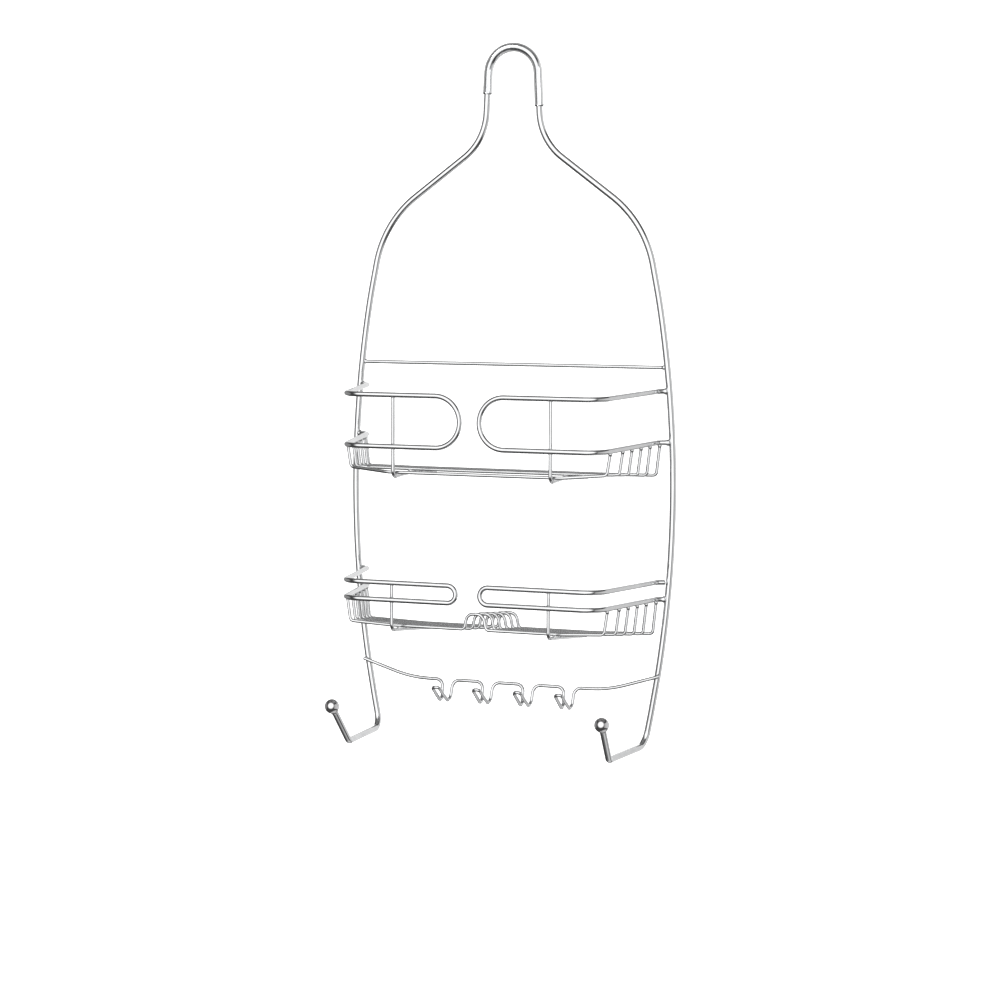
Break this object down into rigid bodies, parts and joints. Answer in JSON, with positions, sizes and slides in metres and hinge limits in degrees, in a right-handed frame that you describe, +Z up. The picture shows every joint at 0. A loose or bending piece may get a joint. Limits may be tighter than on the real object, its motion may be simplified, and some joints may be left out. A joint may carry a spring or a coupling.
{
  "type": "shower caddy",
  "caption": "Chrome wire shower caddy that hangs from a shower arm, with open wire baskets, a razor bar and towel hooks with ball tips.",
  "frame": {"origin": "underside of the sleeve at the crown of the hanging loop, in the frame's plane: the point that rests on the shower arm", "axes": "+Z up, -Y to the front, where the baskets are, +X to the viewer's right; the frame lies in the XZ plane"},
  "size_m": [0.2618, 0.106, 0.5286],
  "materials": {
    "frame_chrome": "polished",
    "rail_chrome": "polished",
    "basket_chrome": "polished",
    "ball_chrome": "polished",
    "sleeve_vinyl": "clear soft vinyl"
  },
  "bodies": {
    "root": {"frame_wire": "frame_chrome", "left_ball_tip": "ball_chrome", "loop_sleeve": "sleeve_vinyl", "lower_floor_wire_1": "basket_chrome", "lower_floor_wire_2": "basket_chrome", "lower_floor_wire_3": "basket_chrome", "lower_floor_wire_4": "basket_chrome", "lower_floor_wire_5": "basket_chrome", "lower_floor_wire_6": "basket_chrome", "lower_left_rail": "rail_chrome", "lower_left_support": "basket_chrome", "lower_right_rail": "rail_chrome", "lower_right_support": "basket_chrome", "razor_bar": "basket_chrome", "right_ball_tip": "ball_chrome", "upper_back_wire": "basket_chrome", "upper_floor_wire_1": "basket_chrome", "upper_floor_wire_2": "basket_chrome", "upper_floor_wire_3": "basket_chrome", "upper_floor_wire_4": "basket_chrome", "upper_floor_wire_5": "basket_chrome", "upper_floor_wire_6": "basket_chrome", "upper_left_rail": "rail_chrome", "upper_left_support": "basket_chrome", "upper_right_rail": "rail_chrome", "upper_right_support": "basket_chrome"}
  },
  "joints": []
}
